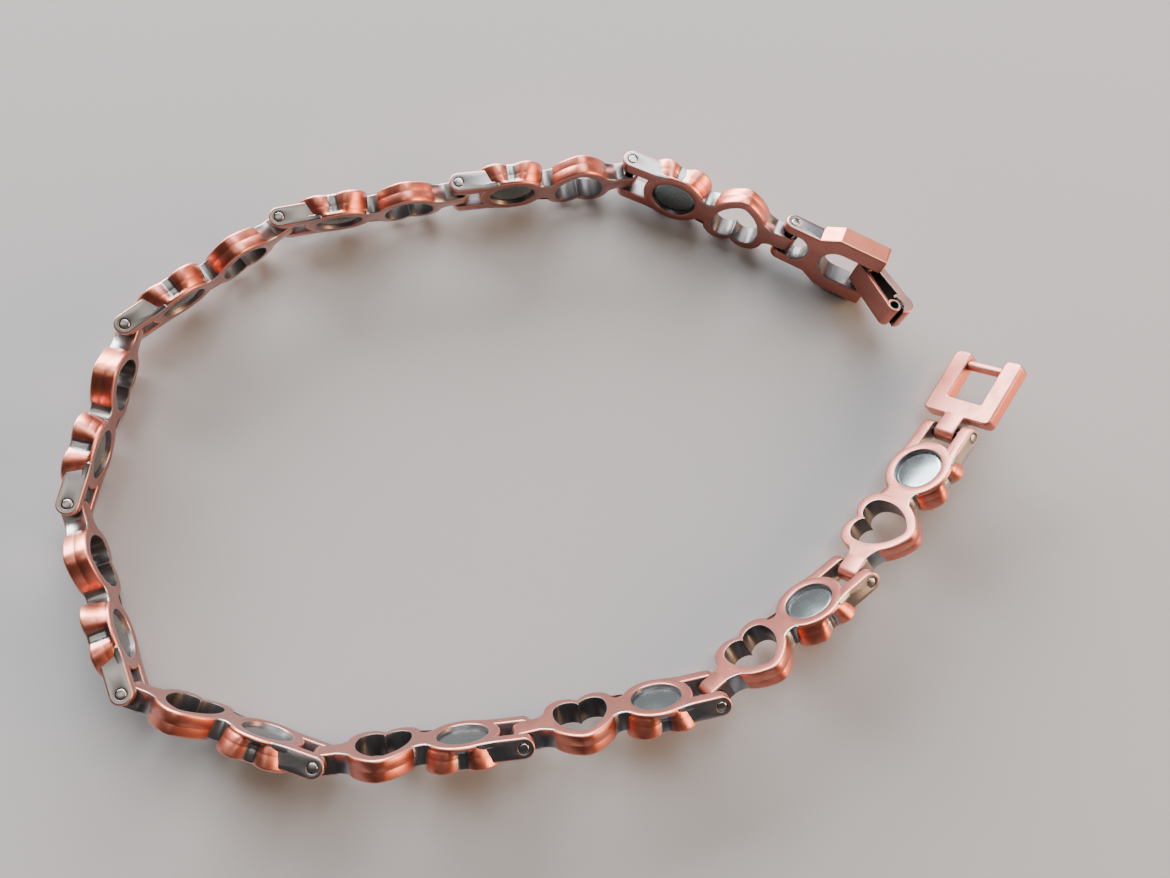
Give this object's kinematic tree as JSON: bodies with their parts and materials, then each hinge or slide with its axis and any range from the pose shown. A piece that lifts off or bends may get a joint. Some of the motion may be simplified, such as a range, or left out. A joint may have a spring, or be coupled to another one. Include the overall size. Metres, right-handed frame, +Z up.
{
  "type": "magnetic link bracelet",
  "caption": "Link bracelet of aged copper with round magnets and open hearts, unclasped: a ladder end and a clasp body with a snap lever.",
  "frame": {"origin": "middle of the bracelet's footprint on the surface it lies on", "axes": "+X along the loop's long way, towards the two open ends; +Y towards the clasp side; +Z up"},
  "size_m": [0.0746, 0.0582, 0.0073],
  "materials": {
    "aged_copper": "aged copper, satin on the wrist side and darkened in the recesses",
    "magnet": "plated magnet, satin",
    "dark_steel": "darkened pin"
  },
  "bodies": {
    "bracelet": {"link_01": "aged_copper", "link_02": "aged_copper", "link_03": "aged_copper", "link_04": "aged_copper", "link_05": "aged_copper", "link_06": "aged_copper", "link_07": "aged_copper", "link_08": "aged_copper", "link_09": "aged_copper", "link_10": "aged_copper", "link_11": "aged_copper", "magnet_01": "magnet", "magnet_02": "magnet", "magnet_03": "magnet", "magnet_04": "magnet", "magnet_05": "magnet", "magnet_06": "magnet", "magnet_07": "magnet", "magnet_08": "magnet", "magnet_09": "magnet", "magnet_10": "magnet", "magnet_11": "magnet", "pin_01": "dark_steel", "pin_02": "dark_steel", "pin_03": "dark_steel", "pin_04": "dark_steel", "pin_05": "dark_steel", "pin_06": "dark_steel", "pin_07": "dark_steel", "pin_08": "dark_steel", "pin_09": "dark_steel", "pin_10": "dark_steel", "pin_11": "dark_steel", "pin_12": "dark_steel", "ladder_end": "aged_copper", "clasp_body": "aged_copper", "clasp_pin": "dark_steel"},
    "lever": {"clasp_lever": "aged_copper"}
  },
  "joints": [
    {"name": "lever_hinge", "type": "hinge", "parent": "bracelet", "child": "lever", "pos_m": [0.02215, 0.02586, 0.0032], "axis": [-0.036, -0.2563, -0.9659], "range_deg": [-40, 110]}
  ]
}
